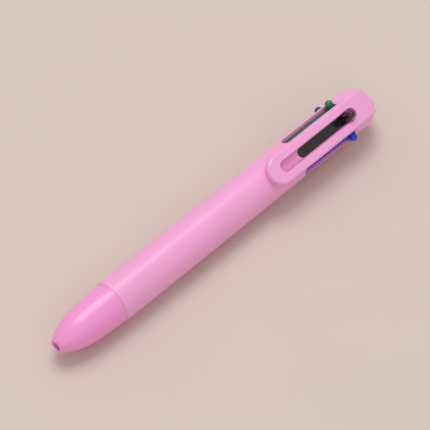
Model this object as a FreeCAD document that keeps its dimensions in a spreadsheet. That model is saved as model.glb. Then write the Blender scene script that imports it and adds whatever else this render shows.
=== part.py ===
"""A six-colour click pen, as separate pieces.

Sizes are in millimetres.  Every piece is drawn in the pen's own frame: X runs along the axis from
the writing end (0) to the tail, and the pocket clip is on the +Z side.  A placement then rolls the
piece about X and lifts it, so that the pen lies on a desk on its two lowest knobs, with +Z up, the
tail towards +X and the origin on the desk under the middle of the pen.  Each colour is drawn under
the clip and is rolled on to its own station.
"""

import FreeCAD, Part
import Sketcher
import os
import re

SIZES = {
    # overall
    "pen_length": 145.0,
    "barrel_radius": 7.36,
    "nose_length": 23.4,
    # nose cone
    "tip_face_radius": 2.45,
    "exit_radius": 1.5,
    "exit_land": 1.0,
    "shoulder_radius": 7.05,
    "bullet_blend_x": 10.5,
    "bullet_blend_radius": 6.3,
    "bullet_side_arc": 111.3,
    "bullet_front_arc": 23.9,
    "spigot_length": 10.0,
    "spigot_wall": 0.75,
    "tip_edge": 0.3,
    "bullet_wall": 3.4,
    # barrel
    "thread_wall": 0.81,
    "front_wall": 1.46,
    "rear_wall": 1.11,
    "lip_round": 0.3,
    "ledge_x": 75.5,
    "slot_front_x": 105.3,
    "slot_width": 3.6,
    # tail cap
    "cap_length": 14.7,
    "cap_bore_radius": 5.15,
    "cap_bore_depth": 8.0,
    "boss_radius": 3.0,
    "prong_width": 1.6,
    "prong_length": 8.0,
    # pocket clip
    "clip_front_x": 90.7,
    "clip_width": 10.1,
    "clip_top": 10.0,
    "clip_thickness": 1.6,
    "clip_slot_width": 4.1,
    "clip_front_band": 4.95,
    "clip_slot_rear": 1.5,
    "clip_flat_end": 1.1,
    "clip_tail_length": 9.6,
    "clip_tail_drop": 3.6,
    "clip_tail_arc": 16.0,
    "clip_edge_round": 0.8,
    "clip_slot_round": 0.3,
    "foot_length": 3.5,
    "foot_ramp": 1.5,
    # core
    "core_radius": 1.9,
    "latch_radius": 2.2,
    "core_front_x": 101.5,
    "core_disc": 1.65,
    "core_spigot_length": 5.5,
    "rib_thickness": 0.8,
    # spring disc
    "disc_thickness": 2.5,
    "disc_hole_radius": 1.6,
    "disc_hole_play": 0.3,
    # sliders
    "travel": 19.0,
    "refill_circle": 4.15,
    "bar_width": 3.4,
    "bar_top": 5.9,
    "bar_step": 4.0,
    "web_width": 1.4,
    "web_bottom": 2.3,
    "slider_length": 28.9,
    "stem_length": 6.0,
    "knob_radius": 1.5,
    "knob_centre": 7.87,
    "long_knob_centre": 11.15,
    # refills
    "tube_radius": 1.45,
    "tube_bore": 1.0,
    "refill_point_x": 16.0,
    "point_cone": 3.5,
    "point_radius": 1.15,
    "point_front_radius": 0.5,
    "point_length": 10.0,
    "shank_length": 4.0,
    "ball_radius": 0.35,
    "ball_seat": 0.02,
    "ink_length": 58.0,
    # springs
    "wire_radius": 0.15,
    "coil_radius": 1.75,
    "coil_turns": 12.0,
    # clearances
    "running_gap": 0.05,
    "face_gap": 0.05,
    # layout
    "stations": 6.0,
}

COLOURS = ["black", "blue", "orange", "red", "purple", "green"]
PLAIN_NAME = re.compile(r"[a-z_]+")
NODES = []
SMALLEST_CUT = 0.1
NEAR = 0.001

# Places that follow from the sizes above, as expressions.
CAP_FRONT = "(pen_length - cap_length)"
CAP_FLOOR = "(pen_length - cap_length + core_disc + running_gap)"
REAR_BORE = "(barrel_radius - rear_wall)"
FRONT_BORE = "(barrel_radius - front_wall)"
THREAD_BORE = "(barrel_radius - thread_wall)"
SPIGOT_RADIUS = "(barrel_radius - thread_wall - running_gap)"
SPIGOT_BORE = "(barrel_radius - thread_wall - running_gap - spigot_wall)"
THREAD_END = "(nose_length + spigot_length + face_gap)"
DOME_CENTRE = "(pen_length - barrel_radius)"
PRONG_OUTER = "(barrel_radius - rear_wall - running_gap)"
DISC_REAR = "(ledge_x + disc_thickness)"
SLIDER_REAR = "(pen_length - cap_length - face_gap)"
SLIDER_FRONT = "(pen_length - cap_length - face_gap - slider_length)"
KNOB_X = "(pen_length - cap_length - 2 * face_gap - knob_radius)"
CLIP_UNDER = "(clip_top - clip_thickness)"
FLAT_END = "(pen_length - cap_length + clip_flat_end)"
POINT_REAR = "(refill_point_x + point_length)"
AXIS_HEIGHT = "(knob_centre * cos(180 / stations) + knob_radius)"


# ---------------------------------------------------------------- helpers

def bound(text):
    """The expression, with every named size read from the sheet."""
    return PLAIN_NAME.sub(lambda word: "sizes." + word[0] if word[0] in SIZES else word[0], text)


def number(text):
    """What the expression comes to now, for a sketch's first shape."""
    result = sheet.evalExpression(text)
    return float(getattr(result, "Value", result))


def make_sheet(document):
    """The spreadsheet that holds every driving size under its own name."""
    table = document.addObject("Spreadsheet::Sheet", "sizes")
    for row, (name, value) in enumerate(SIZES.items(), start=1):
        table.set(f"A{row}", name)
        table.set(f"B{row}", str(value))
        table.setAlias(f"B{row}", name)
    document.recompute()
    return table


def place_piece(piece, station):
    """Rolls a piece to its station, lifts it to its height over the desk, and lists it."""
    piece.Placement = FreeCAD.Placement(FreeCAD.Vector(), FreeCAD.Rotation(FreeCAD.Vector(1, 0, 0), 1))
    piece.setExpression("Placement.Base.x", bound("-pen_length / 2"))
    piece.setExpression("Placement.Base.z", bound(AXIS_HEIGHT))
    piece.setExpression("Placement.Rotation.Angle", bound(f"(180 + 360 * {station}) / stations"))
    NODES.append(piece)


def new_piece(name, station=0):
    """A body for one piece, in its place."""
    body = doc.addObject("PartDesign::Body", name)
    body.Label = name
    place_piece(body, station)
    return body


def origin_part(body, role):
    """One of the body's own origin planes or axes."""
    return next(item for item in body.Origin.OriginFeatures if item.Role == role)


def new_sketch(body, name, plane, across="0", up="0", out="0"):
    """A sketch on one of the body's planes, with its own origin moved by the three distances."""
    sketch = body.newObject("Sketcher::SketchObject", name)
    sketch.AttachmentSupport = (origin_part(body, plane), "")
    sketch.MapMode = "FlatFace"
    for axis, distance in (("x", across), ("y", up), ("z", out)):
        if distance != "0":
            sketch.setExpression(f"AttachmentOffset.Base.{axis}", bound(distance))
    return sketch


def pin_way(sketch, curve, end, kind, place):
    """Holds one end, or the centre, of a curve at a distance from the sketch's origin."""
    if place == "0":
        axis = -2 if kind == "DistanceX" else -1
        sketch.addConstraint(Sketcher.Constraint("PointOnObject", curve, end, axis))
    else:
        index = sketch.addConstraint(Sketcher.Constraint(kind, -1, 1, curve, end, number(place)))
        sketch.setExpression(f"Constraints[{index}]", bound(place))


def hold_radius(sketch, curve, radius):
    """Holds the radius of a circle or an arc."""
    index = sketch.addConstraint(Sketcher.Constraint("Radius", curve, abs(number(radius))))
    sketch.setExpression(f"Constraints[{index}]", bound(radius))


def outline(sketch, corners):
    """A closed outline.  A corner is (across, up) and is left on a straight line, or has a third
    item, the radius of the arc that leaves it; the arc turns clockwise, or the other way round if
    the radius is written with a minus sign."""
    places = [FreeCAD.Vector(number(corner[0]), number(corner[1]), 0) for corner in corners]
    count = len(corners)
    for index, corner in enumerate(corners):
        start = places[index]
        finish = places[(index + 1) % count]
        if len(corner) == 2:
            sketch.addGeometry(Part.LineSegment(start, finish))
        else:
            radius = number(corner[2])
            chord = finish - start
            rise = abs(radius) - max(radius ** 2 - chord.Length ** 2 / 4, 0) ** 0.5
            side = FreeCAD.Vector(-chord.y, chord.x, 0).normalize() * (rise if radius > 0 else -rise)
            sketch.addGeometry(Part.Arc(start, start + chord * 0.5 + side, finish))
    # an arc is stored anticlockwise, so its first end may be the outline's second
    ends = []
    for index, corner in enumerate(corners):
        ends.append((2, 1) if len(corner) == 3 and number(corner[2]) > 0 else (1, 2))
    for index, corner in enumerate(corners):
        following = (index + 1) % count
        sketch.addConstraint(
            Sketcher.Constraint("Coincident", index, ends[index][1], following, ends[following][0]))
        pin_way(sketch, index, ends[index][0], "DistanceX", corner[0])
        pin_way(sketch, index, ends[index][0], "DistanceY", corner[1])
        if len(corner) == 2:
            continue
        chord = places[following] - places[index]
        if abs(chord.Length - 2 * abs(number(corner[2]))) > NEAR:
            hold_radius(sketch, index, corner[2].lstrip("-"))
        elif abs(chord.x) < abs(chord.y):
            # half a circle is held by its centre
            pin_way(sketch, index, 3, "DistanceX", corner[0])
        else:
            pin_way(sketch, index, 3, "DistanceY", corner[1])


def circle(sketch, radius):
    """A circle about the sketch's own origin."""
    curve = sketch.addGeometry(Part.Circle(FreeCAD.Vector(), FreeCAD.Vector(0, 0, 1), number(radius)))
    sketch.addConstraint(Sketcher.Constraint("Coincident", curve, 3, -1, 1))
    hold_radius(sketch, curve, radius)


def revolved(body, name, sketch, axis=None, kind="PartDesign::Revolution"):
    """The sketch turned once about the pen's axis, or about the axis that is given."""
    feature = body.newObject(kind, name)
    feature.Profile = sketch
    feature.ReferenceAxis = axis or (origin_part(body, "X_Axis"), [""])
    feature.Angle = 360
    sketch.Visibility = False
    return feature


def padded(body, name, sketch, length, reverse=False, midplane=False):
    """The sketch pushed out by a length."""
    pad = body.newObject("PartDesign::Pad", name)
    pad.Profile = sketch
    pad.setExpression("Length", bound(length))
    pad.Reversed = reverse
    pad.Midplane = midplane
    return pad


def pocketed(body, name, sketch, length, reverse=False):
    """The sketch cut away to a depth, with a check that it did cut."""
    doc.recompute()
    before = body.Shape.Volume
    pocket = body.newObject("PartDesign::Pocket", name)
    pocket.Profile = sketch
    pocket.setExpression("Length", bound(length))
    pocket.Reversed = reverse
    doc.recompute()
    if body.Shape.Volume > before - SMALLEST_CUT:
        raise RuntimeError(f"{name} cuts nothing")
    return pocket


def repeated(body, name, feature):
    """The feature at every station round the pen."""
    pattern = body.newObject("PartDesign::PolarPattern", name)
    pattern.Originals = [feature]
    pattern.Axis = (origin_part(body, "X_Axis"), [""])
    pattern.Angle = 360
    pattern.setExpression("Occurrences", bound("stations"))
    body.Tip = pattern
    return pattern


def rounded(body, name, radius, wanted):
    """Rounds every edge of the body so far for which wanted(edge) is true."""
    doc.recompute()
    base = body.Tip
    edges = [f"Edge{i}" for i, edge in enumerate(base.Shape.Edges, start=1) if wanted(edge)]
    if not edges:
        raise RuntimeError(f"{name} finds no edge")
    fillet = body.newObject("PartDesign::Fillet", name)
    fillet.Base = (base, edges)
    fillet.setExpression("Radius", bound(radius))
    return fillet


def on_circle_at(place_x, radius):
    """A test for round edges about the pen's axis at one place and radius."""
    def wanted(edge):
        curve = edge.Curve
        if not hasattr(curve, "Radius"):
            return False
        return abs(curve.Radius - number(radius)) < NEAR and abs(curve.Center.x - number(place_x)) < NEAR
    return wanted


def slot_outline(sketch, front, rear, width):
    """A slot along the sketch's first axis, with round ends at front and rear."""
    half = f"({width} / 2)"
    outline(sketch, [
        (f"{front} + {half}", f"-{half}", half),
        (f"{front} + {half}", half),
        (f"{rear} - {half}", half, half),
        (f"{rear} - {half}", f"-{half}"),
    ])


# ---------------------------------------------------------------- housing

def nose_cone():
    """The bullet-shaped front cone, with its exit hole and the spigot that screws into the barrel."""
    body = new_piece("nose_cone")
    sketch = new_sketch(body, "nose_profile", "XY_Plane")
    funnel_end = "(nose_length - bullet_wall)"
    outline(sketch, [
        ("0", "exit_radius"),
        ("0", "tip_face_radius", "bullet_front_arc"),
        ("bullet_blend_x", "bullet_blend_radius", "bullet_side_arc"),
        ("nose_length", "shoulder_radius"),
        ("nose_length", SPIGOT_RADIUS),
        ("nose_length + spigot_length", SPIGOT_RADIUS),
        ("nose_length + spigot_length", SPIGOT_BORE),
        (funnel_end, SPIGOT_BORE),
        ("exit_land", "exit_radius"),
    ])
    revolved(body, "nose_turned", sketch)
    rounded(body, "nose_tip_edge", "tip_edge", on_circle_at("0", "tip_face_radius"))


def barrel():
    """The long tube: a bore for the cone, a ledge for the spring disc, and a slot for each knob."""
    body = new_piece("barrel")
    sketch = new_sketch(body, "barrel_profile", "XY_Plane")
    outline(sketch, [
        ("nose_length", THREAD_BORE),
        ("nose_length", "barrel_radius"),
        (CAP_FRONT, "barrel_radius"),
        (CAP_FRONT, REAR_BORE),
        ("ledge_x", REAR_BORE),
        ("ledge_x", FRONT_BORE),
        (THREAD_END, FRONT_BORE),
        (THREAD_END, THREAD_BORE),
    ])
    revolved(body, "barrel_turned", sketch)
    rounded(body, "barrel_lip", "lip_round", on_circle_at("nose_length", "barrel_radius"))
    slot = new_sketch(body, "slot_plan", "XY_Plane")
    slot_outline(slot, "slot_front_x", f"{CAP_FRONT} + slot_width", "slot_width")
    cut = pocketed(body, "knob_slot", slot, "2 * barrel_radius", reverse=True)
    repeated(body, "knob_slots", cut)


def cap_with_clip():
    """The tail cap and pocket clip, moulded in one piece, with a long slot for the knob below it."""
    body = new_piece("cap_with_clip")
    dome = new_sketch(body, "dome_profile", "XY_Plane")
    outline(dome, [
        (CAP_FRONT, "0"),
        (CAP_FRONT, "barrel_radius"),
        (DOME_CENTRE, "barrel_radius", "barrel_radius"),
        ("pen_length", "0"),
    ])
    revolved(body, "dome", dome)
    clip_side(body)
    clip_plan(body)
    cap_inside(body)
    cap_prongs(body)


def clip_side(body):
    """The clip in side view: foot, springy arm, and the hump that runs down into the dome."""
    sketch = new_sketch(body, "clip_side", "XZ_Plane")
    foot_bottom = "(barrel_radius + running_gap)"
    inside = "(cap_bore_radius / 2)"
    tail_end = f"({FLAT_END} + clip_tail_length)"
    outline(sketch, [
        ("clip_front_x", foot_bottom),
        ("clip_front_x", "clip_top"),
        (FLAT_END, "clip_top", "clip_tail_arc"),
        (tail_end, "clip_top - clip_tail_drop"),
        (tail_end, inside),
        (CAP_FRONT, inside),
        (CAP_FRONT, CLIP_UNDER),
        ("clip_front_x + foot_length + foot_ramp", CLIP_UNDER),
        ("clip_front_x + foot_length", foot_bottom),
    ])
    padded(body, "clip_and_hump", sketch, "clip_width", midplane=True)


def clip_plan(body):
    """The clip in plan: its round front end and the slot, with their softened edges."""
    half = "(clip_width / 2)"
    beyond = "(clip_width)"
    front = new_sketch(body, "clip_end_plan", "XY_Plane")
    outline(front, [
        (f"clip_front_x + {half}", half, f"-{half}"),
        (f"clip_front_x + {half}", f"-{half}"),
        (f"clip_front_x + {half}", f"-{beyond}"),
        (f"clip_front_x - {half}", f"-{beyond}"),
        (f"clip_front_x - {half}", beyond),
        (f"clip_front_x + {half}", beyond),
    ])
    pocketed(body, "clip_round_end", front, "2 * clip_top", reverse=True)
    slot = new_sketch(body, "clip_slot_plan", "XY_Plane", out="barrel_radius")
    slot_front = "(clip_front_x + clip_front_band)"
    slot_rear = f"({CAP_FRONT} + clip_slot_rear)"
    slot_outline(slot, slot_front, slot_rear, "clip_slot_width")
    pocketed(body, "clip_slot", slot, "clip_top", reverse=True)

    def on_top(edge):
        middle = edge.valueAt((edge.FirstParameter + edge.LastParameter) / 2)
        return abs(middle.z - number("clip_top")) < NEAR and edge.BoundBox.ZLength < NEAR

    def slot_edge(edge):
        box = edge.BoundBox
        inside = max(box.YMax, -box.YMin) < number("clip_slot_width") / 2 + NEAR
        return on_top(edge) and inside and box.XMax < number(slot_rear) + NEAR

    def outer_edge(edge):
        return on_top(edge) and not slot_edge(edge) and edge.BoundBox.XMin < number(FLAT_END) - NEAR

    rounded(body, "clip_slot_edges", "clip_slot_round", slot_edge)
    rounded(body, "clip_edges", "clip_edge_round", outer_edge)


def cap_inside(body):
    """The cap's bore, with a post in it that grips the core."""
    doc.recompute()
    sketch = new_sketch(body, "cap_bore_profile", "XY_Plane")
    post_bore = "(core_radius + running_gap)"
    bore_end = f"({CAP_FRONT} + cap_bore_depth)"
    outline(sketch, [
        (CAP_FRONT, "0"),
        (CAP_FRONT, "cap_bore_radius"),
        (bore_end, "cap_bore_radius"),
        (bore_end, "boss_radius"),
        (CAP_FLOOR, "boss_radius"),
        (CAP_FLOOR, post_bore),
        (bore_end, post_bore),
        (bore_end, "0"),
    ])
    before = body.Shape.Volume
    revolved(body, "cap_bore", sketch, kind="PartDesign::Groove")
    doc.recompute()
    if body.Shape.Volume > before - SMALLEST_CUT:
        raise RuntimeError("cap_bore cuts nothing")


def cap_prongs(body):
    """Six prongs that reach into the barrel between the sliders and hold the cap on."""
    sketch = new_sketch(body, "prong_section", "YZ_Plane", out=f"{CAP_FRONT} + face_gap")
    half = "(prong_width / 2)"
    inner = f"sqrt(cap_bore_radius ^ 2 - {half} ^ 2)"
    outer = f"sqrt({PRONG_OUTER} ^ 2 - {half} ^ 2)"
    outline(sketch, [
        (inner, f"-{half}"),
        (outer, f"-{half}", f"-{PRONG_OUTER}"),
        (outer, half),
        (inner, half, "cap_bore_radius"),
    ])
    prong = padded(body, "prong", sketch, "prong_length + face_gap", reverse=True)
    repeated(body, "prongs", prong)


def slider_core():
    """The rod inside the rear barrel, ribbed to guide the sliders, with a step that they latch on."""
    body = new_piece("slider_core")
    sketch = new_sketch(body, "core_profile", "XY_Plane")
    step_x = f"({SLIDER_REAR} - travel + 2 * face_gap)"
    disc_front = f"({CAP_FRONT} + face_gap)"
    outline(sketch, [
        ("core_front_x", "0"),
        ("core_front_x", "core_radius"),
        (step_x, "core_radius"),
        (step_x, "latch_radius"),
        (disc_front, "latch_radius"),
        (disc_front, "cap_bore_radius - running_gap"),
        (CAP_FLOOR, "cap_bore_radius - running_gap"),
        (CAP_FLOOR, "core_radius"),
        (f"{CAP_FLOOR} + core_spigot_length", "core_radius"),
        (f"{CAP_FLOOR} + core_spigot_length", "0"),
    ])
    revolved(body, "core_turned", sketch)
    rib = new_sketch(body, "rib_side", "XY_Plane")
    outline(rib, [
        ("core_front_x", "core_radius / 2"),
        ("core_front_x", "cap_bore_radius - 2 * running_gap"),
        (disc_front, "cap_bore_radius - 2 * running_gap"),
        (disc_front, "core_radius / 2"),
    ])
    pad = padded(body, "rib", rib, "rib_thickness", midplane=True)
    repeated(body, "ribs", pad)


def spring_disc():
    """The perforated disc that stands on the barrel's ledge and carries the springs."""
    body = new_piece("spring_disc")
    face = new_sketch(body, "disc_face", "YZ_Plane", out="ledge_x")
    circle(face, f"{REAR_BORE} - running_gap")
    padded(body, "disc_plate", face, "disc_thickness")
    # the first axis of this sketch is turned on to the pen's Z
    hole = new_sketch(body, "tube_hole", "YZ_Plane", out="ledge_x")
    hole.AttachmentOffset = FreeCAD.Placement(
        FreeCAD.Vector(), FreeCAD.Rotation(FreeCAD.Vector(0, 0, 1), 90))
    hole.setExpression("AttachmentOffset.Base.z", bound("ledge_x"))
    slot_outline(
        hole,
        "(refill_circle - disc_hole_radius - disc_hole_play)",
        "(refill_circle + disc_hole_radius)",
        "(2 * disc_hole_radius)")
    cut = pocketed(body, "tube_passage", hole, "disc_thickness", reverse=True)
    repeated(body, "tube_passages", cut)


# ---------------------------------------------------------------- one colour

def slider(name, station, knob_centre):
    """The bar that slides under the slot, with a ball-ended knob above and a stem for the refill."""
    body = new_piece(name, station)
    section = new_sketch(body, f"{name}_section", "YZ_Plane", out=SLIDER_REAR)
    outline(section, [
        ("-web_width / 2", "web_bottom"),
        ("-web_width / 2", "bar_step"),
        ("-bar_width / 2", "bar_step"),
        ("-bar_width / 2", "bar_top"),
        ("bar_width / 2", "bar_top"),
        ("bar_width / 2", "bar_step"),
        ("web_width / 2", "bar_step"),
        ("web_width / 2", "web_bottom"),
    ])
    padded(body, f"{name}_bar", section, "slider_length", reverse=True)
    knob = new_sketch(body, f"{name}_knob_profile", "XZ_Plane", across=KNOB_X)
    outline(knob, [
        ("0", "bar_step"),
        ("0", f"{knob_centre} + knob_radius", "knob_radius"),
        ("knob_radius", knob_centre),
        ("knob_radius", "bar_step"),
    ])
    revolved(body, f"{name}_knob", knob, (knob, ["V_Axis"]))
    stem = new_sketch(body, f"{name}_stem_section", "YZ_Plane", up="refill_circle", out=SLIDER_FRONT)
    circle(stem, "tube_bore - running_gap")
    padded(body, f"{name}_stem", stem, "stem_length", reverse=True)


def refill_tube(name, station):
    """The plastic ink tube, from the writing tip to the slider."""
    body = new_piece(name, station)
    section = new_sketch(body, f"{name}_section", "YZ_Plane", up="refill_circle", out=POINT_REAR)
    circle(section, "tube_radius")
    circle(section, "tube_bore")
    padded(body, f"{name}_wall", section, f"{SLIDER_FRONT} - face_gap - {POINT_REAR}")


def refill_ink(name, station):
    """The ink standing in the tube behind the tip's shank."""
    body = new_piece(name, station)
    start = f"({POINT_REAR} + shank_length + face_gap)"
    section = new_sketch(body, f"{name}_section", "YZ_Plane", up="refill_circle", out=start)
    circle(section, "tube_bore - running_gap")
    padded(body, f"{name}_column", section, "ink_length")


def refill_tip(name, station):
    """The turned metal tip: ball seat, cone, straight part and the shank in the tube."""
    body = new_piece(name, station)
    sketch = new_sketch(body, f"{name}_profile", "XZ_Plane", up="refill_circle")
    mouth_x = "(refill_point_x + ball_radius)"
    seat = "(ball_radius + ball_seat)"
    outline(sketch, [
        (mouth_x, seat),
        (mouth_x, "point_front_radius"),
        (f"{mouth_x} + point_cone", "point_radius"),
        (POINT_REAR, "point_radius"),
        (POINT_REAR, "tube_bore - running_gap"),
        (f"{POINT_REAR} + shank_length", "tube_bore - running_gap"),
        (f"{POINT_REAR} + shank_length", "0"),
        (f"{mouth_x} + {seat}", "0", f"-{seat}"),
    ])
    revolved(body, f"{name}_turned", sketch, (sketch, ["H_Axis"]))


def refill_ball(name, station):
    """The writing ball in its seat."""
    body = new_piece(name, station)
    sketch = new_sketch(
        body, f"{name}_profile", "XZ_Plane", across="refill_point_x + ball_radius", up="refill_circle")
    outline(sketch, [
        ("-ball_radius", "0", "ball_radius"),
        ("ball_radius", "0"),
    ])
    revolved(body, f"{name}_turned", sketch, (sketch, ["H_Axis"]))


def spring(name, station):
    """The return spring round the tube, between the disc and the slider."""
    start = number(f"{DISC_REAR} + wire_radius + face_gap")
    height = number(f"{SLIDER_FRONT} - face_gap - wire_radius") - start
    coil_radius = number("coil_radius")
    across = FreeCAD.Vector(coil_radius, 0, 0)
    path = Part.Wire(Part.makeHelix(height / number("coil_turns"), height, coil_radius).Edges)
    wire = Part.Wire([Part.makeCircle(number("wire_radius"), across, FreeCAD.Vector(0, 1, 0))])
    coil = path.makePipeShell([wire], True, True)
    # the coil is wound about Z and laid along X
    coil.rotate(FreeCAD.Vector(), FreeCAD.Vector(0, 1, 0), 90)
    coil.translate(FreeCAD.Vector(start, 0, number("refill_circle")))
    piece = doc.addObject("Part::Feature", name)
    piece.Label = name
    piece.Shape = Part.makeCompound([coil])
    place_piece(piece, station)


# ---------------------------------------------------------------- the whole pen

def check_document():
    """Stops if any object failed, or any piece has no valid solid."""
    for item in doc.Objects:
        if "Invalid" in item.State or "Error" in item.State:
            raise RuntimeError(f"{item.Name} failed: {item.State}")
    for piece in NODES:
        if piece.Shape.isNull() or not piece.Shape.isValid() or not piece.Shape.Solids:
            raise RuntimeError(f"{piece.Label} has no valid solid")


def write_pieces():
    """One STEP file per piece, named after it."""
    os.makedirs("parts", exist_ok=True)
    for piece in NODES:
        piece.Shape.exportStep(f"parts/{piece.Label}.step")
        print(piece.Label, round(piece.Shape.Volume, 2), "mm3")


doc = FreeCAD.newDocument("click_pen")
sheet = make_sheet(doc)

nose_cone()
barrel()
cap_with_clip()
slider_core()
spring_disc()
for place, colour in enumerate(COLOURS):
    slider(f"{colour}_slider", place, "long_knob_centre" if place == 0 else "knob_centre")
    spring(f"{colour}_spring", place)
    refill_tube(f"{colour}_refill_tube", place)
    refill_ink(f"{colour}_refill_ink", place)
    refill_tip(f"{colour}_refill_tip", place)
    refill_ball(f"{colour}_refill_ball", place)

doc.recompute()
check_document()
write_pieces()
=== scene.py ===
# %% [markdown]
# # A six-colour click pen
# The pen is a moulded plastic barrel with a screw-on cone, a tail cap that carries the pocket clip, and six
# sliding knobs.  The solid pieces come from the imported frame, so this script finishes their surfaces, winds
# the springs and lights the pen.

# %% Load the frame
import bpy
import math
from mathutils import Matrix, Vector


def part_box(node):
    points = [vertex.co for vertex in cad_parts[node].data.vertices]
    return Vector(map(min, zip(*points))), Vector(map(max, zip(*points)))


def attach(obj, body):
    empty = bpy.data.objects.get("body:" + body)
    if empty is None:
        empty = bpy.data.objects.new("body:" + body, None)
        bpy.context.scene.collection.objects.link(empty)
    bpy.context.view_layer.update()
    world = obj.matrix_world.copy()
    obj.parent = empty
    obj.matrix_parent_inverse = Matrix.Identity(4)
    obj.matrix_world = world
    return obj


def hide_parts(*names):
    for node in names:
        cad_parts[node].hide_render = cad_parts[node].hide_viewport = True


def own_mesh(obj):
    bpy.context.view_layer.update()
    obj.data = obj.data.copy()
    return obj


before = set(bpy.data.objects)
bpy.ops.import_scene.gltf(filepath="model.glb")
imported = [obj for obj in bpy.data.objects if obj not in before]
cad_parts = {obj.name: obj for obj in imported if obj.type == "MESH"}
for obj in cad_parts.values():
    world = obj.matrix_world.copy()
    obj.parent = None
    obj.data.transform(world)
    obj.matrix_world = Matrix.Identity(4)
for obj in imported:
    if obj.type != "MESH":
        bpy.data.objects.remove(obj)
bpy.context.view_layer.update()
MM = 0.001
COLOURS = ["black", "blue", "orange", "red", "purple", "green"]

# %% [markdown]
# ## Places
# The barrel is a tube along X, so the middle of its box is the height of the pen's axis.  The springs, the
# slope of the desk and the aim of the lamps are worked out from boxes like this one.  They could be typed in,
# but then they would not follow a change of size.  The lamps and the camera stand at places of their own.

# %% Read the places
barrel_low, barrel_high = [Vector(corner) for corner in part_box("barrel")]
axis_height = (barrel_low.z + barrel_high.z) / 2
knob_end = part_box("orange_slider")[1][0]
desk_slope = math.atan2(barrel_low.z, knob_end - barrel_low.x)
print("axis height", round(axis_height, 5), "desk slope", round(math.degrees(desk_slope), 3), "degrees")

# %% [markdown]
# ## Shared surface effects
# Moulded plastic is never one flat colour: the melt leaves slow drifts of tone, the mould leaves a very fine
# grain, and handling leaves faint scuffs that dull the gloss.  Each material could have these nodes of its
# own.  All the plastics show the same effect, so it is built once, as a node group that puts out a colour, a
# roughness and a height.

# %% Moulded surface group
DRIFT_SCALE = 90.0
SCUFF_SCALE = (60.0, 700.0, 700.0)
SCUFF_DETAIL = 4.0
SCUFFS_BEGIN = 0.5
SCUFFS_FULL = 0.8
GRAIN_DETAIL = 2.0


def moulded_surface():
    """A node group with the drift, grain and scuffs of moulded plastic."""
    group = bpy.data.node_groups.new("moulded_surface", "ShaderNodeTree")
    for label, kind, value in (
        ("Colour", "NodeSocketColor", (1, 1, 1, 1)),
        ("Drift", "NodeSocketFloat", 0.03),
        ("Grain Scale", "NodeSocketFloat", 4000.0),
        ("Roughness", "NodeSocketFloat", 0.3),
        ("Scuffs", "NodeSocketFloat", 0.1),
    ):
        group.interface.new_socket(label, in_out="INPUT", socket_type=kind).default_value = value
    group.interface.new_socket("Colour", in_out="OUTPUT", socket_type="NodeSocketColor")
    group.interface.new_socket("Roughness", in_out="OUTPUT", socket_type="NodeSocketFloat")
    group.interface.new_socket("Height", in_out="OUTPUT", socket_type="NodeSocketFloat")
    nodes, links = group.nodes, group.links
    given = nodes.new("NodeGroupInput")
    made = nodes.new("NodeGroupOutput")
    place = nodes.new("ShaderNodeTexCoord")

    slow = nodes.new("ShaderNodeTexNoise")
    slow.inputs["Scale"].default_value = DRIFT_SCALE
    links.new(place.outputs["Object"], slow.inputs["Vector"])
    centred = nodes.new("ShaderNodeMath")
    centred.operation = "MULTIPLY_ADD"
    centred.inputs[1].default_value = 2.0
    centred.inputs[2].default_value = -1.0
    links.new(slow.outputs["Fac"], centred.inputs[0])
    drift = nodes.new("ShaderNodeMath")
    drift.operation = "MULTIPLY_ADD"
    drift.inputs[2].default_value = 1.0
    links.new(centred.outputs[0], drift.inputs[0])
    links.new(given.outputs["Drift"], drift.inputs[1])
    tone = nodes.new("ShaderNodeHueSaturation")
    links.new(given.outputs["Colour"], tone.inputs["Color"])
    links.new(drift.outputs[0], tone.inputs["Value"])
    links.new(tone.outputs["Color"], made.inputs["Colour"])

    streak_space = nodes.new("ShaderNodeMapping")
    streak_space.inputs["Scale"].default_value = SCUFF_SCALE
    links.new(place.outputs["Object"], streak_space.inputs["Vector"])
    streaks = nodes.new("ShaderNodeTexNoise")
    streaks.inputs["Scale"].default_value = 1.0
    streaks.inputs["Detail"].default_value = SCUFF_DETAIL
    links.new(streak_space.outputs[0], streaks.inputs["Vector"])
    worn = nodes.new("ShaderNodeMapRange")
    worn.inputs["From Min"].default_value = SCUFFS_BEGIN
    worn.inputs["From Max"].default_value = SCUFFS_FULL
    links.new(streaks.outputs["Fac"], worn.inputs["Value"])
    dulled = nodes.new("ShaderNodeMath")
    dulled.operation = "MULTIPLY_ADD"
    links.new(worn.outputs[0], dulled.inputs[0])
    links.new(given.outputs["Scuffs"], dulled.inputs[1])
    links.new(given.outputs["Roughness"], dulled.inputs[2])
    links.new(dulled.outputs[0], made.inputs["Roughness"])

    grain = nodes.new("ShaderNodeTexNoise")
    grain.inputs["Detail"].default_value = GRAIN_DETAIL
    links.new(place.outputs["Object"], grain.inputs["Vector"])
    links.new(given.outputs["Grain Scale"], grain.inputs["Scale"])
    links.new(grain.outputs["Fac"], made.inputs["Height"])
    return group


SURFACE = moulded_surface()
print("group", SURFACE.name)

# %% [markdown]
# ## Plastics
# The pen's plastics differ in the colour of the resin, the polish of the mould and how deep light sinks in.
# A material for each could be written out in full.  One function with those choices as its arguments is
# shorter, and numbers that are the same all over stay on the shader's own sockets.

# %% Plastic
PLASTIC_IOR = 1.5
COAT_ROUGHNESS = 0.08
GRAIN_DEPTH = 0.05 * MM
LIGHT_REACH = 1.2 * MM
LIGHT_REACH_IN_RED_GREEN_BLUE = (1.0, 0.45, 0.6)


def linear(colour):
    """A colour given as seen on a screen, in the shader's linear values."""
    return tuple(c / 12.92 if c <= 0.04045 else ((c + 0.055) / 1.055) ** 2.4 for c in colour) + (1.0,)


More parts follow.
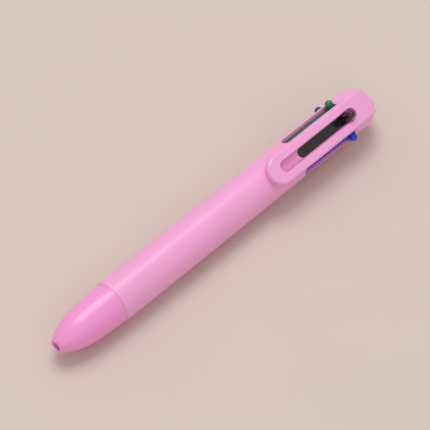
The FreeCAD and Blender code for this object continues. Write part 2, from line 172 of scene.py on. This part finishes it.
def plastic(name, colour, roughness, coat=0.0, soft=0.0, grain=0.02, scuffs=0.08, drift=0.03):
    """A moulded plastic: its colour, polish, clear top and how far light sinks in."""
    material = bpy.data.materials.new(name)
    material.use_nodes = True
    nodes, links = material.node_tree.nodes, material.node_tree.links
    shader = nodes["Principled BSDF"]
    surface = nodes.new("ShaderNodeGroup")
    surface.node_tree = SURFACE
    surface.inputs["Colour"].default_value = linear(colour)
    surface.inputs["Roughness"].default_value = roughness
    surface.inputs["Scuffs"].default_value = scuffs
    surface.inputs["Drift"].default_value = drift
    links.new(surface.outputs["Colour"], shader.inputs["Base Color"])
    links.new(surface.outputs["Roughness"], shader.inputs["Roughness"])
    bump = nodes.new("ShaderNodeBump")
    bump.inputs["Strength"].default_value = grain
    bump.inputs["Distance"].default_value = GRAIN_DEPTH
    links.new(surface.outputs["Height"], bump.inputs["Height"])
    links.new(bump.outputs["Normal"], shader.inputs["Normal"])
    shader.inputs["IOR"].default_value = PLASTIC_IOR
    shader.inputs["Coat Weight"].default_value = coat
    shader.inputs["Coat Roughness"].default_value = COAT_ROUGHNESS
    shader.inputs["Subsurface Weight"].default_value = soft
    shader.inputs["Subsurface Radius"].default_value = LIGHT_REACH_IN_RED_GREEN_BLUE
    shader.inputs["Subsurface Scale"].default_value = LIGHT_REACH
    return material


# %% [markdown]
# ## Metals
# The tips are turned brass, and the springs and balls are steel.  Tools leave fine rings round such pieces,
# which a bump could show.  At this size they only change the tone and the gloss, so one wave texture along
# the pen drives both.

# %% Metal
RING_SCALE = 2500.0
RING_DISTORTION = 1.5
RING_SHADE = 0.88
RING_DULLING = 0.1


def metal(name, colour, roughness):
    """Turned or drawn metal, with fine rings across the pen's length."""
    material = bpy.data.materials.new(name)
    material.use_nodes = True
    nodes, links = material.node_tree.nodes, material.node_tree.links
    shader = nodes["Principled BSDF"]
    shader.inputs["Metallic"].default_value = 1.0
    place = nodes.new("ShaderNodeTexCoord")
    rings = nodes.new("ShaderNodeTexWave")
    rings.bands_direction = "X"
    rings.inputs["Scale"].default_value = RING_SCALE
    rings.inputs["Distortion"].default_value = RING_DISTORTION
    links.new(place.outputs["Object"], rings.inputs["Vector"])
    shade = nodes.new("ShaderNodeMix")
    shade.data_type = "RGBA"
    shade.inputs["A"].default_value = linear(tuple(c * RING_SHADE for c in colour))
    shade.inputs["B"].default_value = linear(colour)
    links.new(rings.outputs["Fac"], shade.inputs["Factor"])
    links.new(shade.outputs["Result"], shader.inputs["Base Color"])
    polish = nodes.new("ShaderNodeMapRange")
    polish.inputs["To Min"].default_value = roughness
    polish.inputs["To Max"].default_value = roughness + RING_DULLING
    links.new(rings.outputs["Fac"], polish.inputs["Value"])
    links.new(polish.outputs[0], shader.inputs["Roughness"])
    return material


# %% [markdown]
# ## Dress the pieces
# Three mouldings make the pink body, each with its own shade and gloss, and every slider is the colour of its
# ink.  The solids already have the right shape, so each is only given a finish and none is made again.

# %% Finishes of the pieces
TUBE_ALPHA = 0.45
KNOB_COLOURS = {
    "black": (0.075, 0.07, 0.075),
    "blue": (0.06, 0.20, 0.86),
    "orange": (0.97, 0.60, 0.06),
    "red": (0.82, 0.07, 0.09),
    "purple": (0.27, 0.09, 0.36),
    "green": (0.0, 0.45, 0.30),
}


def dress(node, material):
    """Gives a CAD node its finish."""
    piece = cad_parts[node]
    piece.data.materials.clear()
    piece.data.materials.append(material)


nose_pink = plastic("nose_pink", (1.0, 0.62, 0.86), 0.30, coat=0.25, soft=0.15)
barrel_pink = plastic("barrel_pink", (0.995, 0.675, 0.87), 0.36, coat=0.15, soft=0.15)
cap_pink = plastic("cap_pink", (1.0, 0.68, 0.885), 0.22, coat=0.4, soft=0.15)
core_white = plastic("core_white", (0.90, 0.89, 0.87), 0.5)
clear_tube = plastic("clear_tube", (0.93, 0.94, 0.94), 0.2)
clear_tube.node_tree.nodes["Principled BSDF"].inputs["Alpha"].default_value = TUBE_ALPHA
brass = metal("turned_brass", (0.83, 0.72, 0.45), 0.25)
spring_wire = metal("spring_steel", (0.78, 0.78, 0.80), 0.22)
ball_steel = metal("ball_steel", (0.70, 0.70, 0.72), 0.12)
for name, material in (
    ("nose_cone", nose_pink), ("barrel", barrel_pink), ("cap_with_clip", cap_pink),
    ("slider_core", core_white), ("spring_disc", core_white),
):
    dress(name, material)
for colour in COLOURS:
    knob = plastic(f"{colour}_knob", KNOB_COLOURS[colour], 0.16, coat=0.6, drift=0.06)
    dress(f"{colour}_slider", knob)
    dress(f"{colour}_refill_ink", plastic(f"{colour}_ink", KNOB_COLOURS[colour], 0.1, grain=0.0))
    dress(f"{colour}_refill_tube", clear_tube)
    dress(f"{colour}_refill_tip", brass)
    dress(f"{colour}_refill_ball", ball_steel)
print("materials", len(bpy.data.materials))

# %% [markdown]
# ## Springs
# Each refill has a thin wire spring between the disc and its slider.  A screw modifier could wind one, but a
# helix is a formula, so the coil is a curve with a round bevel, turned into a mesh.  The CAD spring is one
# rigid solid, so it is hidden and the coil takes its place.

# %% Wind the springs
COIL_TURNS = 12
POINTS_PER_TURN = 20
WIRE_RADIUS = 0.15 * MM


def wind_spring(colour):
    """A coil in the box of the CAD spring, which it hides and replaces."""
    low, high = [Vector(corner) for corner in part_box(f"{colour}_spring")]
    centre_y = (low.y + high.y) / 2
    centre_z = (low.z + high.z) / 2
    coil_radius = (high.y - low.y) / 2 - WIRE_RADIUS
    curve = bpy.data.curves.new(f"{colour}_coil", "CURVE")
    curve.dimensions = "3D"
    curve.bevel_depth = WIRE_RADIUS
    curve.bevel_resolution = 2
    curve.use_fill_caps = True
    spline = curve.splines.new("POLY")
    count = COIL_TURNS * POINTS_PER_TURN + 1
    spline.points.add(count - 1)
    for index, point in enumerate(spline.points):
        turn = 2 * math.pi * index / POINTS_PER_TURN
        along = low.x + WIRE_RADIUS + (high.x - low.x - 2 * WIRE_RADIUS) * index / (count - 1)
        across = centre_y + coil_radius * math.sin(turn)
        up = centre_z + coil_radius * math.cos(turn)
        point.co = (along, across, up, 1)
    shape = bpy.data.objects.new(f"{colour}_coil_shape", curve)
    bpy.context.collection.objects.link(shape)
    bpy.context.view_layer.update()
    mesh = bpy.data.meshes.new_from_object(shape.evaluated_get(bpy.context.evaluated_depsgraph_get()))
    bpy.data.objects.remove(shape)
    coil = bpy.data.objects.new(f"{colour}_coil_spring", mesh)
    bpy.context.collection.objects.link(coil)
    mesh.materials.clear()
    mesh.materials.append(spring_wire)
    for face in mesh.polygons:
        face.use_smooth = True
    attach(coil, "housing")
    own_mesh(coil)
    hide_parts(f"{colour}_spring")
    return coil


coils = [wind_spring(colour) for colour in COLOURS]
print("springs", len(coils))

# %% [markdown]
# ## Desk
# The pen lies on two knobs and the front of its barrel.  The pen could be tipped to lie on a level desk, but
# the frame stays where the CAD put it, so the desk slopes up to the pen instead.

# %% Make the desk
DESK_GAP = 0.02 * MM
DESK_HALF_SIDE = 3.0
DESK_ROUGHNESS = 0.6
MOTTLE_SCALE = 30.0


def make_floor():
    """A wide pale desk, tilted to meet the front of the barrel."""
    side = DESK_HALF_SIDE
    corners = [(-side, -side, 0), (side, -side, 0), (side, side, 0), (-side, side, 0)]
    mesh = bpy.data.meshes.new("desk")
    mesh.from_pydata(corners, [], [(0, 1, 2, 3)])
    desk = bpy.data.objects.new("desk", mesh)
    bpy.context.collection.objects.link(desk)
    desk.rotation_euler.y = desk_slope
    desk.location.z = knob_end * math.tan(desk_slope) - DESK_GAP
    material = bpy.data.materials.new("desk_laminate")
    material.use_nodes = True
    nodes, links = material.node_tree.nodes, material.node_tree.links
    shader = nodes["Principled BSDF"]
    shader.inputs["Roughness"].default_value = DESK_ROUGHNESS
    place = nodes.new("ShaderNodeTexCoord")
    mottle = nodes.new("ShaderNodeTexNoise")
    mottle.inputs["Scale"].default_value = MOTTLE_SCALE
    links.new(place.outputs["Object"], mottle.inputs["Vector"])
    tone = nodes.new("ShaderNodeMix")
    tone.data_type = "RGBA"
    tone.inputs["A"].default_value = linear((0.845, 0.782, 0.742))
    tone.inputs["B"].default_value = linear((0.865, 0.80, 0.76))
    links.new(mottle.outputs["Fac"], tone.inputs["Factor"])
    links.new(tone.outputs["Result"], shader.inputs["Base Color"])
    mesh.materials.append(material)
    return desk


desk = make_floor()
print("desk height at the middle", round(desk.location.z, 6))

# %% [markdown]
# ## Light
# A satin barrel shows its light as one long soft streak.  A small lamp would make that streak hard, so a
# broad square one hangs overhead, a weaker one fills the near side, and the room adds an even glow.

# %% Set the lights
LAMPS = (
    ("overhead", (0.15, 0.25, 0.9), 0.5, 3.6),
    ("near_fill", (-0.5, -0.6, 0.6), 0.6, 0.8),
)
ROOM_COLOUR = (1.0, 0.985, 0.97, 1)
ROOM_STRENGTH = 0.55


def soft_light(name, place, aim, size, watts):
    """A square soft light at a place, turned to its aim."""
    lamp = bpy.data.lights.new(name, "AREA")
    lamp.size = size
    lamp.energy = watts
    light = bpy.data.objects.new(name, lamp)
    bpy.context.collection.objects.link(light)
    light.location = place
    light.rotation_euler = (Vector(aim) - Vector(place)).to_track_quat("-Z", "Y").to_euler()


middle = Vector((0, 0, axis_height))
for name, place, size, watts in LAMPS:
    soft_light(name, place, middle, size, watts)
world = bpy.data.worlds.new("room")
bpy.context.scene.world = world
world.use_nodes = True
world.node_tree.nodes["Background"].inputs["Color"].default_value = ROOM_COLOUR
world.node_tree.nodes["Background"].inputs["Strength"].default_value = ROOM_STRENGTH
print("lamps", len(LAMPS))

# %% [markdown]
# ## Camera
# The pen is seen from above its nose, a little to one side.  A camera can be turned by typed angles or by a
# target, and the target is easier to read: the camera looks at a point near the pen's middle, then rolls.

# %% Place the camera
CAMERA_PLACE = Vector((-268.9, -234.1, 479.2)) * MM
CAMERA_AIM = Vector((-1.08, 1.51, 8.32)) * MM
CAMERA_ROLL = math.radians(3.647)
SENSOR_WIDTH_IN_MM = 36.0
LENS_IN_MM = 151.9

camera_data = bpy.data.cameras.new("camera")
camera_data.sensor_width = SENSOR_WIDTH_IN_MM
camera_data.lens = LENS_IN_MM
camera = bpy.data.objects.new("camera", camera_data)
bpy.context.collection.objects.link(camera)
facing = (CAMERA_AIM - CAMERA_PLACE).to_track_quat("-Z", "Y").to_matrix().to_4x4()
camera.matrix_world = Matrix.Translation(CAMERA_PLACE) @ facing @ Matrix.Rotation(CAMERA_ROLL, 4, "Z")
bpy.context.scene.camera = camera
bpy.context.scene.view_settings.view_transform = "Standard"
print("camera distance", round((CAMERA_AIM - CAMERA_PLACE).length, 4))
